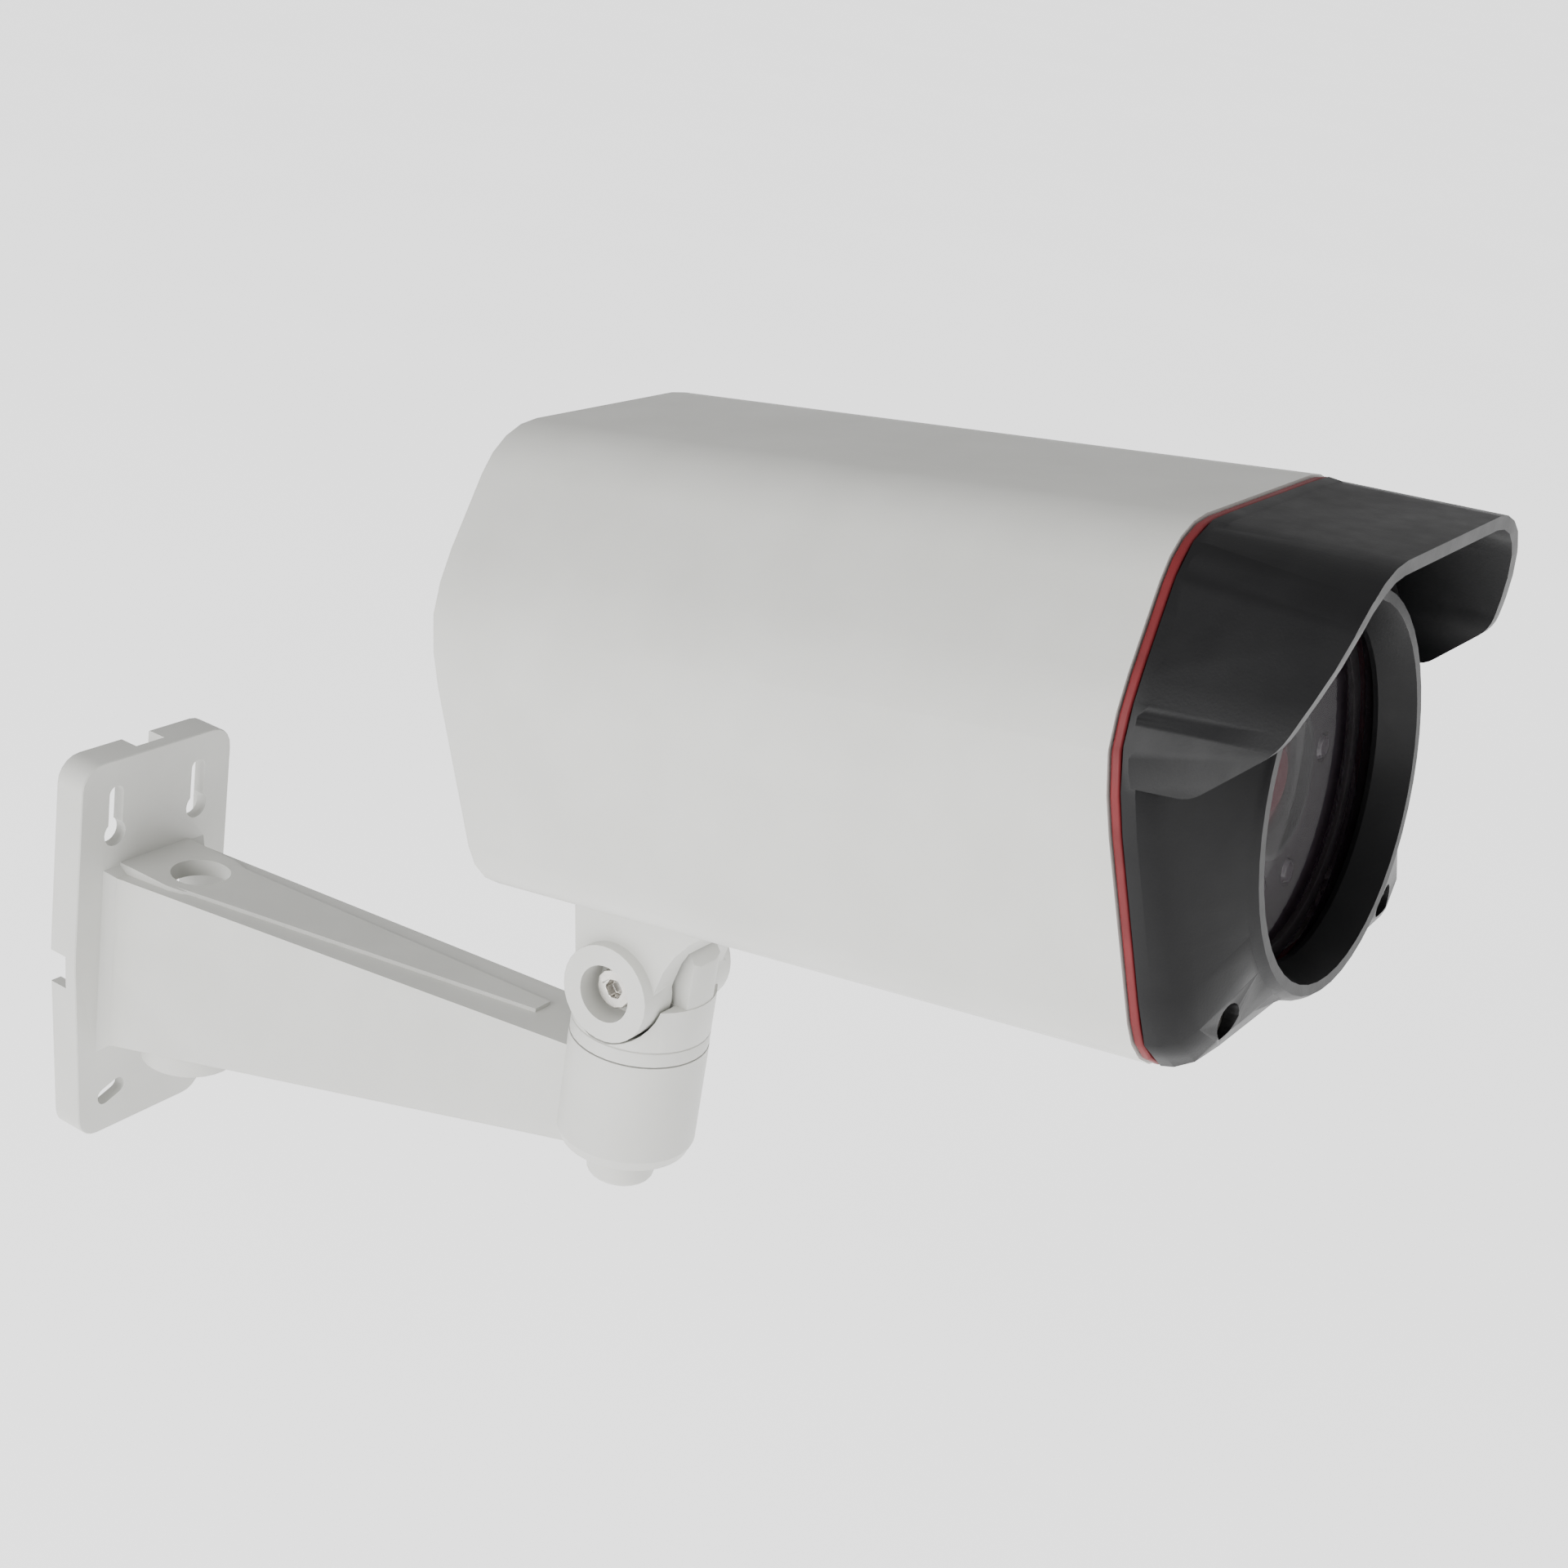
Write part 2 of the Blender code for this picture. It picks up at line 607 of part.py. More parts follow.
# ---- Swivel turret: stem in the cup, collar on it, and a tongue for the tilt bolt
turret = frame("turret_frame", (0, -ARM_REACH, 0), (0, 0, PAN_REST))
washer_low = CUP_LOW + CUP_FLOOR + GAP
part(
    "pan_washer", ring(BORE_R - RUN, PAN_BOLT_R + RUN, (0, 0, washer_low), 1.2 * MM, "+Z", 24),
    "nylon", turret,
)
stem_low = washer_low + 1.2 * MM + GAP
collar_low = CUP_TOP + GAP
turret_r = CUP_R - 0.1 * MM
seat_r = HUB_R + 0.6 * MM
shoulder = PIVOT_Z + SHOULDER_TOP
swivel = part(
    "swivel_turret",
    turned(
        [
            (0, shoulder), (turret_r, shoulder), (turret_r, collar_low + BAND),
            (turret_r - 0.4 * MM, collar_low + BAND - 0.2 * MM),
            (turret_r, collar_low + BAND - 0.4 * MM), (turret_r, collar_low),
            (BORE_R - RUN, collar_low), (BORE_R - RUN, stem_low), (0, stem_low),
        ],
        (0, 0, 0), "+Z", 36,
    ),
    "warm_grey_paint", turret,
)
for side in (-1, 1):
    near = side * (TONGUE_HALF + 0.1 * MM)
    far = side * 20 * MM
    combine(
        swivel, "DIFFERENCE",
        rod(seat_r, (min(near, far), 0, PIVOT_Z), abs(far - near), "+X", sides=36),
    )
tongue = rod(TONGUE_R, (-TONGUE_HALF, 0, PIVOT_Z), 2 * TONGUE_HALF, "+X", sides=36)
low_z = collar_low + BAND
tongue_trim = rod(turret_r - 0.2 * MM, (0, 0, low_z), PIVOT_Z, "+Z", sides=36)
tongue_tool = tool("tongue", tongue, turret)
trim = tongue_tool.modifiers.new("trim", "BOOLEAN")
trim.operation = "INTERSECT"
trim.object = tool("tongue_trim", tongue_trim, turret)
join = swivel.modifiers.new("tongue", "BOOLEAN")
join.operation = "UNION"
join.object = tongue_tool
combine(
    swivel, "DIFFERENCE",
    rod(TILT_BOLT_R + RUN, (-20 * MM, 0, PIVOT_Z), 40 * MM, "+X", sides=16),
    rod(PAN_BOLT_R + GAP, (0, 0, 0), PIVOT_Z - TILT_BOLT_R - RUN - 6 * MM, "+Z", sides=24),
)
screw(
    "pan_bolt", PAN_BOLT_R, PAN_HEAD_R, PAN_HEAD_DEEP - 1.2 * MM, 26 * MM,
    (0, 0, CUP_LOW - GAP), "+Z", turret,
)

# ---- Tilt joint
head = frame("head_frame", (0, 0, PIVOT_Z), (TILT_REST, 0, 0), turret)
ear = TONGUE_HALF + EAR_GAP
foot_top = LOW_Z - GAP
foot = part(
    "tilt_foot",
    slab(
        "YZ",
        [rounded([
            (FOOT_BACK, foot_top, MM), (FOOT_FRONT, foot_top, MM),
            (FOOT_FRONT, foot_top - FOOT_FLANGE, 2 * MM), (-14 * MM, 12 * MM, FOOT_ARC_R),
            (-9.2 * MM, -2 * MM, MM), (FOOT_BACK, -2 * MM, MM),
        ])],
        -FOOT_WEB_HALF, FOOT_WEB_HALF,
    ),
    "warm_grey_paint", head,
)
combine(foot, "UNION", rod(HUB_R, (-HUB_OUT, 0, 0), 2 * HUB_OUT, "+X", sides=32))
soften(foot, 0.8 * MM, 1, 50)
bore = HUB_OUT - COUNTERBORE_DEEP
nut_floor = HUB_OUT - TILT_NUT_LONG - 0.6 * MM
combine(
    foot, "DIFFERENCE",
    rod(TONGUE_R + 0.8 * MM, (-ear, 0, 0), 2 * ear, "+X", sides=32),
    rod(COUNTERBORE_R, (-HUB_OUT - MM, 0, 0), COUNTERBORE_DEEP + MM, "+X", sides=32),
    rod(TILT_BOLT_R + GAP, (-20 * MM, 0, 0), 40 * MM, "+X", sides=16),
    rod(TILT_NUT_R + 0.5 * MM, (nut_floor, 0, 0), 10 * MM, "+X", sides=32),
)
washer_x = TONGUE_HALF + GAP
for name, start in (("left", -washer_x - EAR_GAP / 2), ("right", washer_x)):
    part(
        f"tilt_washer_{name}",
        ring(8 * MM, TILT_BOLT_R + GAP, (start, 0, 0), EAR_GAP / 2, "+X", 20),
        "nylon", head,
    )
screw(
    "tilt_bolt", TILT_BOLT_R, TILT_HEAD_R, TILT_HEAD_LONG, bore + HUB_OUT - 1.5 * MM,
    (-bore - GAP, 0, 0), "+X", head, recess=0.48,
)
part(
    "tilt_nut",
    rod(TILT_NUT_R, (nut_floor + GAP, 0, 0), TILT_NUT_LONG, "+X", sides=6),
    "steel", head,
)
combine(
    bpy.data.objects["tilt_nut"], "DIFFERENCE",
    rod(TILT_BOLT_R + GAP, (0, 0, 0), 20 * MM, "+X", sides=16),
)

# ---- Housing: extruded tube with a screw channel in each corner, open at both ends
FRONT = SHELL_BACK - SHELL_LENGTH
shell = part("housing_shell", section(0, FRONT, SHELL_BACK, SHELL_WALL), "warm_grey_paint", head)


CORNERS = [(side * x, z) for x, z in FRONT_SCREWS for side in (-1, 1)]
for x, z in CORNERS:
    side = 1 if x > 0 else -1
    first = FRONT - lean(z) + MM
    last = SHELL_BACK - lean(z) - COVER_SUNK - COVER_THICK - REAR_SEAL - MM
    if z < FACE_Z:
        web = box((x - 1.5 * MM, first, LOW_Z + MM), (x + 1.5 * MM, last, z))
    else:
        outer = x + side * 10.2 * MM
        web = box((min(x, outer), first, z - 1.5 * MM), (max(x, outer), last, z + 1.5 * MM))
    combine(shell, "UNION", web, rod(POST_R, (x, last, z), last - first, "-Y", sides=16))
    combine(shell, "DIFFERENCE", rod(SCREW_R + GAP, (x, 30 * MM, z), 200 * MM, "-Y", sides=12))
for number, (x, y) in enumerate(
    [(side * FOOT_SCREW_X, y) for y in FOOT_SCREWS_Y for side in (-1, 1)], 1
):
    hole = rod(FOOT_SCREW_R + GAP, (x, y, LOW_Z - 7 * MM), 14 * MM, "+Z", sides=16)
    combine(shell, "DIFFERENCE", hole)
    combine(foot, "DIFFERENCE", hole.copy())
    screw(
        f"foot_screw_{number}", FOOT_SCREW_R, 3.2 * MM, 2 * MM, 8 * MM,
        (x, y, LOW_Z + SHELL_WALL + GAP), "-Z", head,
    )

# ---- Rear end: seal and cover sunk into the housing, four screws, cable gland in the leaning face
cover_back = SHELL_BACK - COVER_SUNK
cover_front = cover_back - COVER_THICK
seal_in = SHELL_WALL + GAP
part(
    "rear_gasket",
    section(seal_in, cover_front - GAP - REAR_SEAL, cover_front - GAP, seal_in + 3.5 * MM),
    "black_rubber", head,
)
cover = part("rear_cover", section(seal_in, cover_front, cover_back), "warm_grey_paint", head)
gland_seat = frame(
    "gland_seat", (0, cover_back - lean(GLAND_Z), GLAND_Z), (-atan(RAKE / (MID_Z - LOW_Z)), 0, 0), head
)
combine(
    cover, "DIFFERENCE",
    rod(6.4 * MM, (0, -20 * MM, 0), 40 * MM, "+Y", sides=32), parent=gland_seat,
)
part(
    "cable_gland",
    turned(
        [
            (4.2 * MM, GLAND_LONG), (GLAND_R - 2 * MM, GLAND_LONG - MM), (GLAND_R, GLAND_LONG - 6 * MM),
            (GLAND_R, 4 * MM), (GLAND_R + 2 * MM, 3.6 * MM), (GLAND_R + 2 * MM, GAP), (6 * MM, GAP),
            (6 * MM, -COVER_THICK - 7 * MM), (GLAND_BORE_R, -COVER_THICK - 7 * MM),
            (GLAND_BORE_R, GLAND_LONG),
        ],
        (0, 0, 0), "+Y", 24,
    ),
    "black_plastic", gland_seat,
)
gland_nut = part(
    "gland_nut",
    rod(9.5 * MM, (0, -COVER_THICK - GAP, 0), 4 * MM, "-Y", sides=6), "black_plastic", gland_seat,
)
combine(gland_nut, "DIFFERENCE", rod(6.3 * MM, (0, 20 * MM, 0), 60 * MM, "-Y", sides=32))
for number, (x, z) in enumerate(CORNERS, 1):
    combine(cover, "DIFFERENCE", rod(SCREW_R + GAP, (x, 30 * MM, z), 60 * MM, "-Y", sides=12))
    screw(
        f"rear_screw_{number}", SCREW_R, SCREW_HEAD_R, SCREW_HEAD_LONG, 14 * MM,
        (x, cover_back + GAP - lean(z + SCREW_HEAD_R), z), "-Y", head,
    )

# ---- Front end: red gasket and black bezel with its sun hood
part(
    "front_gasket", section(0.3 * MM, FRONT - GASKET, FRONT - GAP, 3.5 * MM), "red_rubber", head
)
bezel_back = FRONT - GASKET - GAP
edge_y = FRONT - BEZEL_EDGE
bezel = part(
    "hooded_bezel",
    loft(
        spokes(0.2 * MM, bezel_back), spokes(0.6 * MM, edge_y + 3 * MM),
        spokes(2.2 * MM, edge_y), spokes(5.5 * MM, edge_y - 2.2 * MM),
        rim(RIM_R + 0.6 * MM, FRONT - RIM_FRONT + 1.6 * MM), rim(RIM_R, FRONT - RIM_FRONT + 0.6 * MM),
        rim(RIM_R - 0.5 * MM, FRONT - RIM_FRONT),
    ),
    "black_plastic", head,
)
hood_wall = section(0.4 * MM, FRONT - HOOD_LENGTH - 2 * MM, bezel_back - MM, 0.4 * MM + HOOD_WALL)
for vert in hood_wall.vertices:
    vert.co.z -= HOOD_DROOP * max(0, FRONT - vert.co.y) / HOOD_LENGTH
front_y = FRONT - HOOD_LENGTH
hood_side = slab(
    "YZ",
    [rounded([
        (bezel_back - 0.5 * MM, TOP_Z + 3 * MM, 0.3 * MM), (front_y + MM, TOP_Z + 3 * MM, 0.3 * MM),
        (front_y + 2 * MM, 104 * MM, 60 * MM), (FRONT - HOOD_CHEEK, 88 * MM, HOOD_CORNER),
        (FRONT - 14 * MM, HOOD_LOW_Z, 6 * MM), (bezel_back - 0.5 * MM, HOOD_LOW_Z, 0.3 * MM),
    ])],
    -60 * MM, 60 * MM,
)
hood = tool("hood", hood_wall, head)
side_cut = hood.modifiers.new("side", "BOOLEAN")
side_cut.operation = "INTERSECT"
side_cut.object = tool("hood_side", hood_side, head)
hood_join = bezel.modifiers.new("hood", "BOOLEAN")
hood_join.operation = "UNION"
hood_join.object = hood
lip_y = FRONT - WINDOW_FRONT - GAP
combine(
    bezel, "DIFFERENCE",
    loft(
        spokes(0.2 * MM + BEZEL_WALL, FRONT), spokes(0.2 * MM + BEZEL_WALL, edge_y + 2 * MM),
        rim(WINDOW_R + 1.2 * MM, lip_y + 2.8 * MM), rim(WINDOW_R + 1.2 * MM, lip_y),
    ),
    rod(LIP_R, (0, FRONT, FACE_Z), 60 * MM, "-Y", sides=48),
    rod(
        LIP_R, (0, lip_y - 0.9 * MM, FACE_Z), RIM_FRONT - WINDOW_FRONT, "-Y",
        end_radius=OPENING_R, sides=48,
    ),
)
for number, (x, z) in enumerate(CORNERS, 1):
    seat_y = edge_y - lean(z) + 1.5 * MM
    combine(bezel, "UNION", rod(POST_R, (x, bezel_back - lean(z) - 0.4 * MM, z), 6 * MM, "-Y", sides=16))
    combine(
        bezel, "DIFFERENCE",
        rod(SCREW_HEAD_R + 0.4 * MM, (x, seat_y, z), 20 * MM, "-Y", sides=20),
        rod(SCREW_R + GAP, (x, FRONT + 10 * MM, z), 40 * MM, "-Y", sides=12),
    )
    screw(
        f"bezel_screw_{number}", SCREW_R, SCREW_HEAD_R, SCREW_HEAD_LONG, 14 * MM,
        (x, seat_y - GAP, z), "+Y", head,
    )

# ---- Window and what is seen through it
part(
    "front_window",
    rod(WINDOW_R, (0, FRONT - WINDOW_FRONT + WINDOW_THICK, FACE_Z), WINDOW_THICK, "-Y", sides=48),
    "dark_glass", head,
)
seal_back = FRONT - WINDOW_FRONT + WINDOW_THICK + GAP + SEAL_THICK
part(
    "window_seal",
    ring(WINDOW_R + 0.6 * MM, WINDOW_R - 2.5 * MM, (0, seal_back, FACE_Z), SEAL_THICK, "-Y", 40),
    "black_rubber", head,
)
panel = part(
    "front_panel",
    rod(WINDOW_R + MM, (0, FRONT - PANEL_FRONT + PANEL_THICK, FACE_Z), PANEL_THICK, "-Y", sides=48),
    "panel_plastic", head,
)
board_front = FRONT - PANEL_FRONT + PANEL_THICK + 1.2 * MM
part(
    "ir_led_board",
    ring(WINDOW_R - 2 * MM, LENS_HEAD_R + 2 * MM, (0, board_front + BOARD, FACE_Z), BOARD, "-Y", 32),
    "circuit_board", head,
)
combine(panel, "DIFFERENCE", rod(LENS_HEAD_R + SIGHT_CLEAR, (0, FRONT, FACE_Z), 20 * MM, "-Y", sides=32))
LIGHTS = [
    (
        f"ir_led_{k + 1}", LED_R, LED_RING_R * sin(2 * pi * (k + 0.5) / LED_COUNT),
        FACE_Z + LED_RING_R * cos(2 * pi * (k + 0.5) / LED_COUNT),
    )
    for k in range(LED_COUNT)
]
LIGHTS.append(("light_sensor", SENSOR_R, 0, FACE_Z - SENSOR_DROP))
for name, radius, x, z in LIGHTS:
    combine(panel, "DIFFERENCE", rod(radius + GAP, (x, FRONT, z), 20 * MM, "-Y", sides=12))
    part(
        name,
        turned(
            [
                (0, 3.6 * MM), (radius * 0.7, 3.3 * MM), (radius, 2.4 * MM), (radius, 0), (0, 0),
            ],
            (x, board_front - GAP, z), "-Y", 12,
        ),
        "led_resin", head,
    )

# ---- Lens: fixed barrel with zoom and focus rings, on the filter changer and the sensor board
lens_y = FRONT - LENS_FRONT
barrel_bore = LENS_BODY_R - 3 * MM
glass_seat_r = LENS_HEAD_R - LENS_RIM
glass_r = glass_seat_r - GAP
glass_back = -(LENS_SEAT - GAP)
part(
    "lens_barrel",
    turned(
        [
            (LENS_HEAD_R, 0), (LENS_HEAD_R, -LENS_HEAD_LONG), (LENS_BODY_R, -LENS_HEAD_LONG),
            (LENS_BODY_R, -LENS_LONG), (barrel_bore, -LENS_LONG), (barrel_bore, -LENS_SEAT),
            (glass_seat_r, -LENS_SEAT), (glass_seat_r, -2 * MM), (LENS_HEAD_R - LENS_LIP, 0),
        ],
        (0, lens_y, FACE_Z), "-Y", 28,
    ),
    "black_plastic", head,
)
part(
    "front_lens",
    turned(
        [
            (0, -LENS_BULGE), (glass_r * 0.55, -1.5 * MM), (glass_r, -3 * MM),
            (glass_r, glass_back), (0, glass_back),
        ],
        (0, lens_y, FACE_Z), "-Y", 28,
    ),
    "lens_glass", head,
)
for name, start in (("focus_ring", 14 * MM), ("zoom_ring", 26 * MM)):
    grip = part(
        name,
        ring(RING_R, LENS_BODY_R + RUN, (0, lens_y + start + 8 * MM, FACE_Z), 8 * MM, "-Y", 28),
        "black_plastic", head,
    )
    lock = rod(1.2 * MM, (0, lens_y + start + 4 * MM, FACE_Z + RING_R - MM), 7 * MM, "+Z", sides=16)
    combine(grip, "UNION", lock)
changer_y = FRONT + CHANGER_Y
part(
    "lens_mount",
    ring(RING_R + MM, LENS_BODY_R + GAP, (0, changer_y - GAP, FACE_Z), 9 * MM, "-Y", 28),
    "black_plastic", head,
)
changer = part(
    "ir_cut_frame",
    box((-24 * MM, changer_y, FACE_Z - 11 * MM), (24 * MM, changer_y + 6 * MM, FACE_Z + 11 * MM)),
    "black_plastic", head,
)
slot_half = SHUTTLE_HALF + SHUTTLE_STEP / 2 + MM
combine(
    changer, "DIFFERENCE",
    box(
        (-slot_half, changer_y - MM, FACE_Z - 7.4 * MM),
        (slot_half, changer_y + 3.4 * MM, FACE_Z + 7.4 * MM),
    ),
    rod(5 * MM, (0, changer_y, FACE_Z), 10 * MM, "+Y", sides=24),
)
shuttle_x = -SHUTTLE_STEP / 2
shuttle = part(
    "ir_cut_shuttle",
    box(
        (shuttle_x - SHUTTLE_HALF, changer_y + 0.8 * MM, FACE_Z - 7 * MM),
        (shuttle_x + SHUTTLE_HALF, changer_y + 3 * MM, FACE_Z + 7 * MM),
    ),
    "black_plastic", head,
)
for x in (shuttle_x - SHUTTLE_STEP / 2, shuttle_x + SHUTTLE_STEP / 2):
    combine(shuttle, "DIFFERENCE", rod(4.5 * MM, (x, changer_y - MM, FACE_Z), 10 * MM, "+Y", sides=24))
sensor_y = changer_y + 6 * MM + 4 * MM
part(
    "image_sensor",
    box((-6 * MM, sensor_y - 2.3 * MM, FACE_Z - 5 * MM), (6 * MM, sensor_y - GAP, FACE_Z + 5 * MM)),
    "dark_glass", head,
)
part(
    "sensor_board",
    box((-19 * MM, sensor_y, FACE_Z - 19 * MM), (19 * MM, sensor_y + BOARD, FACE_Z + 19 * MM)),
    "circuit_board", head,
)

# ---- Chassis tray on the housing floor, with the main and power boards
tray_low = LOW_Z + SHELL_WALL + 5.5 * MM
upright = sensor_y + BOARD + GAP
tray = part(
    "chassis_tray",
    box((-26 * MM, FRONT + 6 * MM, tray_low), (26 * MM, -4 * MM, tray_low + 1.6 * MM)),
    "cast_aluminium", head,
)
combine(
    tray, "UNION",
    box((-18 * MM, upright, tray_low + 0.8 * MM), (18 * MM, upright + 1.6 * MM, FACE_Z + 22 * MM)),
)
main_low = tray_low + 8 * MM
for x in (-22 * MM, 22 * MM):
    for y in (FRONT + 14 * MM, -10 * MM):
        combine(
            tray, "UNION",
            rod(3 * MM, (x, y, LOW_Z + SHELL_WALL + GAP), 6.5 * MM, "+Z", sides=16),
        )
    for y in (upright + 8 * MM, -9 * MM):
        combine(tray, "UNION", rod(2.5 * MM, (x, y, tray_low + MM), 6.7 * MM, "+Z", sides=16))
main_board = part(
    "main_board",
    box((-25 * MM, upright + 3 * MM, main_low), (25 * MM, -5 * MM, main_low + BOARD)),
    "circuit_board", head,
)
combine(
    main_board, "UNION",
    box((-8 * MM, -34 * MM, main_low + MM), (8 * MM, -18 * MM, main_low + BOARD + 1.6 * MM)),
    box((12 * MM, -36 * MM, main_low + MM), (20 * MM, -24 * MM, main_low + BOARD + 1.4 * MM)),
    box((-22 * MM, -16 * MM, main_low + MM), (-12 * MM, -8 * MM, main_low + BOARD + 5 * MM)),
)
power_low = main_low + BOARD + 22 * MM
for number, x in enumerate((-22 * MM, 22 * MM), 1):
    part(
        f"board_standoff_{number}",
        rod(
            2.5 * MM, (x, -40 * MM, main_low + BOARD + GAP),
            power_low - main_low - BOARD - 2 * GAP, "+Z", sides=6,
        ),
        "steel", head,
    )
power_board = part(
    "power_board",
    box((-25 * MM, -46 * MM, power_low), (25 * MM, -8 * MM, power_low + BOARD)),
    "circuit_board", head,
)
combine(
    power_board, "UNION",
    box((-18 * MM, -38 * MM, power_low + MM), (-2 * MM, -22 * MM, power_low + BOARD + 12 * MM)),
    rod(5 * MM, (12 * MM, -30 * MM, power_low + MM), 14 * MM, "+Z", sides=20),
    rod(4 * MM, (12 * MM, -17 * MM, power_low + MM), 10 * MM, "+Z", sides=20),
)
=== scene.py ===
"""Looks of a security camera on its wall bracket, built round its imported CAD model."""

import json
from math import cos, radians, sin

import bmesh
import bpy
from mathutils import Matrix, Vector


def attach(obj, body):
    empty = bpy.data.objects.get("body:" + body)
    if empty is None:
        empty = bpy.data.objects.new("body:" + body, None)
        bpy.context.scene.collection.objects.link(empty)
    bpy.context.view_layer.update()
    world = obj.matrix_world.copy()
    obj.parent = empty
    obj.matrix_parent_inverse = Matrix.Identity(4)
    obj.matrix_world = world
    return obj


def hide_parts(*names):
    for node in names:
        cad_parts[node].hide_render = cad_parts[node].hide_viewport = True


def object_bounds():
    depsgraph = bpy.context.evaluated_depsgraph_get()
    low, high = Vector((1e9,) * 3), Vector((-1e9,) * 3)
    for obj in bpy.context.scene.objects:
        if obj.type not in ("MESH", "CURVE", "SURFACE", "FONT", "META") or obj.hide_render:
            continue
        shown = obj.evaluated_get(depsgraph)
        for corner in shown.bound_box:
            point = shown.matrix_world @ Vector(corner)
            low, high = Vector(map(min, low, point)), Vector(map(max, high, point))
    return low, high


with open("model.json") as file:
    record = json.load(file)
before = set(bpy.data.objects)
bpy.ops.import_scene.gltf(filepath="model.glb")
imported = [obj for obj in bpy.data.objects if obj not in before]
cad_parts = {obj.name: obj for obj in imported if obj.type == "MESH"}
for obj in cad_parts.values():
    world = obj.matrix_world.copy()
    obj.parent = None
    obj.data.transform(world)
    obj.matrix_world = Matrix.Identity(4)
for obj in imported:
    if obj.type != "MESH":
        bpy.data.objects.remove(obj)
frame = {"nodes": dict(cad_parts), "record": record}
CAD_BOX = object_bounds()
MM = 0.001
BODY_OF = {
    node: body
    for body, nodes in frame["record"]["behaviour"]["bodies"].items()
    for node in nodes
}
SLOT_OF = {row["node"]: row["material_slot"] for row in frame["record"]["subparts"]}

# ---- Painted castings and housing: the plate and arm, turret, foot and rear cover are die-cast,
# and the housing is drawn aluminium. All are powder-coated in a light warm grey with a fine orange
# peel, and the castings have softly rounded edges.


class Value:
    """A shader socket, or a number, that maths can be written with."""

    def __init__(self, tree, socket):
        self.tree = tree
        self.socket = socket

    def _maths(self, kind, first, second):
        node = self.tree.nodes.new("ShaderNodeMath")
        node.operation = kind
        for place, value in zip(node.inputs, (first, second)):
            if isinstance(value, Value):
                self.tree.links.new(value.socket, place)
            else:
                place.default_value = value
        return Value(self.tree, node.outputs[0])

    def __add__(self, other):
        return self._maths("ADD", self, other)

    def __mul__(self, other):
        return self._maths("MULTIPLY", self, other)

    __radd__ = __add__
    __rmul__ = __mul__


class Material:
    """A Principled material whose patterns follow the object's own coordinates."""

    def __init__(self, name, **constants):
        self.made = bpy.data.materials.new(name)
        self.made.use_nodes = True
        self.tree = self.made.node_tree
        self.shader = self.tree.nodes["Principled BSDF"]
        self.coordinates = self.tree.nodes.new("ShaderNodeTexCoord").outputs["Object"]
        for socket, value in constants.items():
            self.shader.inputs[socket.replace("_", " ")].default_value = value

    def node(self, kind, output, settings=(), **inputs):
        node = self.tree.nodes.new(kind)
        for name, value in dict(settings).items():
            setattr(node, name, value)
        for name, value in inputs.items():
            place = node.inputs[name.replace("_", " ")]
            if isinstance(value, Value):
                self.tree.links.new(value.socket, place)
            else:
                place.default_value = value
        return Value(self.tree, node.outputs[output])

    def noise(self, scale, detail=2.0, roughness=0.5):
        return self.node(
            "ShaderNodeTexNoise", "Fac", Vector=Value(self.tree, self.coordinates), Scale=scale,
            Detail=detail, Roughness=roughness,
        )

    def stretched(self, scale, x=1.0, y=1.0, z=1.0):
        """Noise drawn out along an axis, as on turned or brushed metal."""
        mapped = self.node(
            "ShaderNodeMapping", "Vector", Vector=Value(self.tree, self.coordinates),
            Scale=(x, y, z),
        )
        return self.node("ShaderNodeTexNoise", "Fac", Vector=mapped, Scale=scale, Detail=3.0)

    def ramp(self, factor, *stops):
        node = self.tree.nodes.new("ShaderNodeValToRGB")
        self.tree.links.new(factor.socket, node.inputs["Fac"])
        marks = node.color_ramp.elements
        while len(marks) < len(stops):
            marks.new(0.5)
        for mark, (place, colour) in zip(marks, stops):
            mark.position = place
            mark.color = (*colour, 1)
        return Value(self.tree, node.outputs["Color"])

    def feed(self, **values):
        for socket, value in values.items():
            self.tree.links.new(value.socket, self.shader.inputs[socket.replace("_", " ")])

    def bump(self, height, depth, strength=1.0):
        node = self.tree.nodes.new("ShaderNodeBump")
        node.inputs["Distance"].default_value = depth
        node.inputs["Strength"].default_value = strength
        self.tree.links.new(height.socket, node.inputs["Height"])
        self.tree.links.new(node.outputs["Normal"], self.shader.inputs["Normal"])


def show(obj, node, material):
    """New piece for a CAD node: it takes the node's body, slot and place."""
    obj.data.materials.clear()
    obj.data.materials.append(material.made)
    obj.data.shade_smooth()
    obj.data.set_sharp_from_angle(angle=radians(32))
    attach(obj, BODY_OF[node])
    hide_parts(node)
    return obj


def new_piece(name, bm):
    mesh = bpy.data.meshes.new(name)
    bm.to_mesh(mesh)
    bm.free()
    obj = bpy.data.objects.new(name, mesh)
    bpy.context.scene.collection.objects.link(obj)
    return obj


def dressed(node, name, material, width=0.0, segments=3, limit=30):
    """Piece cut from a CAD node's own shape, with its edges rounded as cast, moulded or turned."""
    bm = bmesh.new()
    bm.from_mesh(frame["nodes"][node].data)
    bmesh.ops.remove_doubles(bm, verts=bm.verts, dist=0.00001)
    bmesh.ops.dissolve_limit(bm, angle_limit=radians(0.3), verts=bm.verts, edges=bm.edges)
    obj = show(new_piece(name, bm), node, material)
    if width:
        step = obj.modifiers.new("edges", "BEVEL")
        step.width = width
        step.segments = segments
        step.limit_method = "ANGLE"
        step.angle_limit = radians(limit)
        step.harden_normals = True
        step.miter_outer = "MITER_ARC"
    return obj


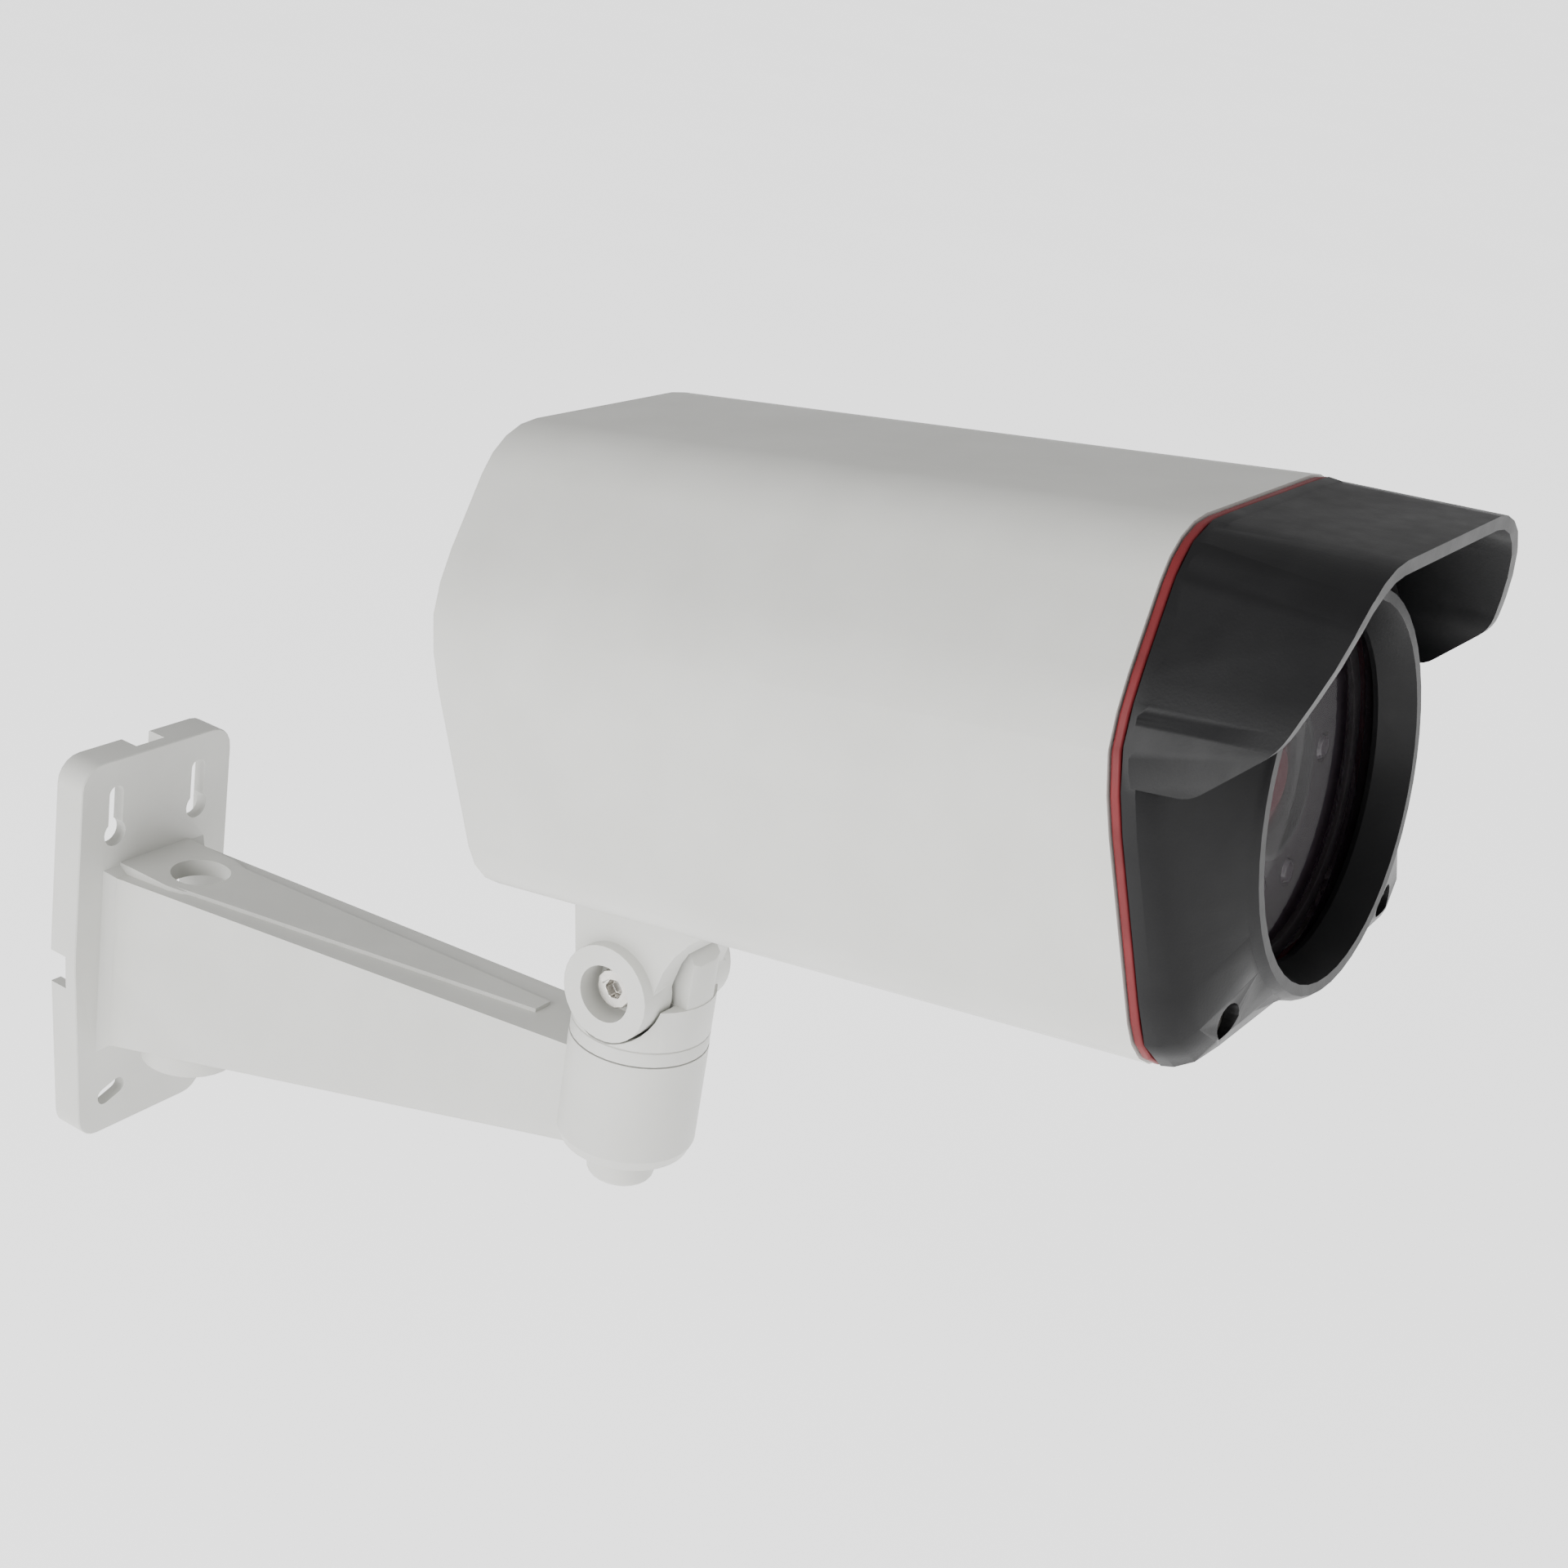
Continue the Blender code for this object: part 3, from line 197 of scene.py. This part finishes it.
paint = Material("powder_coat", Roughness=0.42, Coat_Weight=0.12, Coat_Roughness=0.35)
mottle = paint.noise(55, 4)
paint.feed(Base_Color=paint.ramp(mottle, (0.3, (0.56, 0.56, 0.53)), (0.7, (0.6, 0.6, 0.57))))
paint.feed(Roughness=0.36 + 0.14 * paint.noise(140, 3))
paint.bump(paint.noise(1400, 2) + 0.5 * paint.noise(420, 2), 0.00006, 0.35)

for node, width in (
    ("wall_bracket", 0.6), ("pan_bolt_cap", 0.6), ("swivel_turret", 0.7), ("tilt_foot", 0.7),
    ("rear_cover", 1.0),
):
    dressed(node, node + "_painted", paint, width * MM)
dressed("housing_shell", "housing_painted", paint, 0.0)

# ---- Black bezel and hood: one moulding in satin black plastic, held by four screws at
# the front of the housing, with the gasket behind it. The sun hood grows out of its upper half.
black = Material("satin_black_plastic", Roughness=0.4, Specular_IOR_Level=0.22)
black.feed(
    Base_Color=black.ramp(black.noise(90, 4), (0.3, (0.004, 0.004, 0.0045)), (0.7, (0.007, 0.007, 0.0075)))
)
black.feed(Roughness=0.34 + 0.14 * black.noise(220, 3))
black.bump(black.noise(2200, 2), 0.00005, 0.3)
dressed("hooded_bezel", "bezel_moulded", black, 0.4 * MM, 3, 42)

# ---- Matt black plastic: lens barrel, rings and filter changer, moulded and textured to
# keep stray light down, and the cable gland with its nut, which screws into the rear cover.
matt = Material("matt_black_plastic", Roughness=0.5, Specular_IOR_Level=0.3)
matt.feed(
    Base_Color=matt.ramp(matt.noise(120, 3), (0.3, (0.016, 0.016, 0.018)), (0.7, (0.026, 0.026, 0.028)))
)
matt.feed(Roughness=0.45 + 0.2 * matt.noise(300, 3))
matt.bump(matt.noise(1800, 2), 0.00005, 0.4)
for node in (
    "lens_barrel", "focus_ring", "zoom_ring", "lens_mount", "ir_cut_frame", "ir_cut_shuttle",
    "cable_gland", "gland_nut",
):
    dressed(node, node + "_moulded", matt, 0.25 * MM, 2)

# ---- Red gasket: a soft rubber ring, moulded to the housing's outline and pressed between
# the bezel and the housing, where it shows as a thin red line.
red = Material("red_rubber", Roughness=0.5, Specular_IOR_Level=0.3)
red.feed(
    Base_Color=red.ramp(red.noise(160, 3), (0.3, (0.12, 0.010, 0.012)), (0.7, (0.16, 0.015, 0.018)))
)
red.feed(Roughness=0.42 + 0.18 * red.noise(260, 2))
red.bump(red.noise(1500, 2), 0.00004, 0.3)
dressed("front_gasket", "front_gasket_red", red, 0.5 * MM)

# ---- Black rubber: the rear gasket under the rear cover and the seal behind the window,
# both moulded and held by pressure alone.
rubber = Material("black_rubber", Roughness=0.8)
rubber.feed(
    Base_Color=rubber.ramp(rubber.noise(200, 3), (0.3, (0.014, 0.014, 0.014)), (0.7, (0.025, 0.025, 0.025)))
)
rubber.bump(rubber.noise(1500, 2), 0.00005, 0.4)
for node in ("rear_gasket", "window_seal"):
    dressed(node, node + "_rubber", rubber, 0.25 * MM, 2)

# ---- Bolts, screws, nut and standoffs: bright steel, turned, with fine marks drawn out
# along one direction.
steel = Material("bright_steel", Metallic=1.0, Roughness=0.25)
steel.feed(
    Base_Color=steel.ramp(steel.noise(300, 3), (0.3, (0.5, 0.48, 0.45)), (0.7, (0.66, 0.64, 0.6)))
)
steel.feed(Roughness=0.18 + 0.22 * steel.noise(700, 3))
steel.bump(steel.stretched(2500, 1, 0.2, 1), 0.00002, 0.3)
for node, slot in SLOT_OF.items():
    if slot == "steel":
        dressed(node, node + "_steel", steel, 0.3 * MM, 2)

# ---- Nylon washers: pale discs under the turret and beside its tongue, cut from sheet, which
# give the pan and tilt joints their friction.
nylon = Material("nylon", Roughness=0.6)
nylon.feed(
    Base_Color=nylon.ramp(nylon.noise(250, 3), (0.3, (0.68, 0.68, 0.64)), (0.7, (0.78, 0.78, 0.74)))
)
nylon.bump(nylon.noise(900, 2), 0.00003, 0.3)
for node, slot in SLOT_OF.items():
    if slot == "nylon":
        dressed(node, node + "_nylon", nylon, 0.15 * MM, 2)

# ---- Front panel: a dark moulded plate behind the window, with holes for the lens, the
# infrared LEDs and the light sensor. It hides the boards.
panel = Material("dark_panel", Roughness=0.45, Specular_IOR_Level=0.25)
panel.feed(
    Base_Color=panel.ramp(panel.noise(180, 3), (0.3, (0.030, 0.026, 0.031)), (0.7, (0.040, 0.035, 0.041)))
)
panel.feed(Roughness=0.4 + 0.15 * panel.noise(400, 3))
panel.bump(panel.noise(1600, 2), 0.00004, 0.3)
dressed("front_panel", "front_panel_moulded", panel, 0.3 * MM, 2)

# ---- Infrared LEDs and light sensor: smoky resin domes soldered to the LED board, looking
# out through the front panel.
resin = Material("led_resin", Roughness=0.12, Coat_Weight=0.5)
resin.feed(
    Base_Color=resin.ramp(resin.noise(500, 2), (0.3, (0.05, 0.04, 0.05)), (0.7, (0.09, 0.07, 0.09)))
)
resin.bump(resin.noise(1200, 2), 0.00003, 0.2)
for node, slot in SLOT_OF.items():
    if slot == "led_resin":
        dressed(node, node + "_resin", resin, 0.2 * MM, 2)

# ---- Lens glass and image sensor: polished glass with a coating that reflects dark red.
# The front glass sits on a ledge in the barrel, and the sensor is soldered to its board.
coated = Material("coated_lens", Roughness=0.04, Coat_Weight=1.0, Coat_Roughness=0.02, IOR=1.6)
coated.feed(
    Base_Color=coated.ramp(coated.noise(60, 2), (0.35, (0.07, 0.007, 0.014)), (0.7, (0.14, 0.012, 0.024)))
)
coated.feed(Roughness=0.03 + 0.03 * coated.noise(300, 2))
dressed("front_lens", "front_lens_coated", coated)
dressed("image_sensor", "image_sensor_coated", coated, 0.15 * MM, 2)

# ---- Window: a flat disc of tinted glass, seated on the seal inside the bezel's opening.
tinted = Material("tinted_window", Roughness=0.03, Specular_IOR_Level=0.25, IOR=1.45)
tinted.feed(
    Base_Color=tinted.ramp(tinted.noise(30, 2), (0.3, (0.010, 0.006, 0.009)), (0.7, (0.016, 0.009, 0.013)))
)
tinted.feed(Alpha=0.15 + 0.04 * tinted.noise(20, 2))
tinted.made.surface_render_method = "BLENDED"
dressed("front_window", "front_window_tinted", tinted, 0.3 * MM, 2)

# ---- Circuit boards: glass fibre with a green solder mask over etched tracks, standing on
# the tray's posts or upright behind the lens.
board = Material("circuit_board", Roughness=0.4, Coat_Weight=0.3)
tracks = board.node(
    "ShaderNodeTexBrick", "Fac", Vector=Value(board.tree, board.coordinates), Scale=420.0,
    Mortar_Size=0.12,
)
board.feed(
    Base_Color=board.ramp(
        tracks + 0.25 * board.noise(300, 3), (0.2, (0.012, 0.10, 0.04)), (0.9, (0.03, 0.19, 0.08))
    )
)
board.bump(tracks, 0.00004, 0.4)
for node, slot in SLOT_OF.items():
    if slot == "circuit_board":
        dressed(node, node + "_etched", board, 0.15 * MM, 2)

# ---- Chassis tray: brushed aluminium sheet, bent up behind the lens and standing on the
# housing's floor. It carries the boards.
brushed = Material("brushed_aluminium", Metallic=1.0, Roughness=0.4)
grain = brushed.stretched(900, 1, 0.04, 1)
brushed.feed(Base_Color=brushed.ramp(grain, (0.3, (0.48, 0.48, 0.49)), (0.7, (0.6, 0.6, 0.61))))
brushed.feed(Roughness=0.3 + 0.25 * grain)
brushed.bump(grain, 0.00003, 0.3)
dressed("chassis_tray", "chassis_tray_brushed", brushed, 0.3 * MM, 2)

# ---- Studio: a pale floor that glows softly, well below the object, a white surround, and two
# soft lights, the key from the left and a weaker one from the front.
low, high = CAD_BOX[0], CAD_BOX[1]
floor_drop = 0.25
floor_half = 40
floor_glow = 1.6
bm = bmesh.new()
bmesh.ops.create_grid(
    bm, x_segments=1, y_segments=1, size=floor_half,
    matrix=Matrix.Translation((0, 0, low[2] - floor_drop)),
)
floor = new_piece("floor", bm)
white = Material("pale_floor", Roughness=0.9, Emission_Strength=floor_glow)
white.feed(Base_Color=white.ramp(white.noise(3, 2), (0.3, (0.9, 0.9, 0.9)), (0.7, (0.93, 0.93, 0.93))))
floor.data.materials.append(white.made)
white.feed(Emission_Color=white.ramp(white.noise(3, 2), (0.3, (0.98, 0.98, 0.98)), (0.7, (1, 1, 1))))

surround_strength = 0.55
world = bpy.data.worlds.new("studio")
world.use_nodes = True
world.node_tree.nodes["Background"].inputs["Color"].default_value = (1, 1, 1, 1)
world.node_tree.nodes["Background"].inputs["Strength"].default_value = surround_strength
bpy.context.scene.world = world


def softbox(name, place, aim, size, power):
    lamp = bpy.data.lights.new(name, "AREA")
    lamp.shape = "SQUARE"
    lamp.size = size
    lamp.energy = power
    obj = bpy.data.objects.new(name, lamp)
    obj.location = place
    obj.rotation_euler = (Vector(aim) - Vector(place)).to_track_quat("-Z", "Y").to_euler()
    bpy.context.scene.collection.objects.link(obj)


centre = (Vector(low) + Vector(high)) / 2
softbox("key", (-1.4, 0.1, 0.55), centre, 0.9, 22)
softbox("front", (-0.2, -1.4, 0.5), centre, 0.8, 3)

# ---- Camera: three-quarter view from the front left, a little above, rolled so that the wall
# plate leans
azimuth, elevation, roll = radians(-60), radians(22.81), radians(9.39)
focal_length = 54.98
viewpoint = Vector((-0.36942, -0.38967, 0.28108))
back = Vector((sin(azimuth) * cos(elevation), -cos(azimuth) * cos(elevation), sin(elevation)))
right = (-back).cross(Vector((0, 0, 1))).normalized()
up = right.cross(-back)
across = cos(roll) * right + sin(roll) * up
upward = cos(roll) * up - sin(roll) * right
lens = bpy.data.cameras.new("camera")
lens.lens = focal_length
lens.sensor_width = 36
lens.clip_start = 0.01
camera = bpy.data.objects.new("camera", lens)
turn = Matrix((across, upward, back)).transposed().to_4x4()
camera.matrix_world = Matrix.Translation(viewpoint) @ turn
bpy.context.scene.collection.objects.link(camera)
bpy.context.scene.camera = camera

bpy.context.view_layer.update()
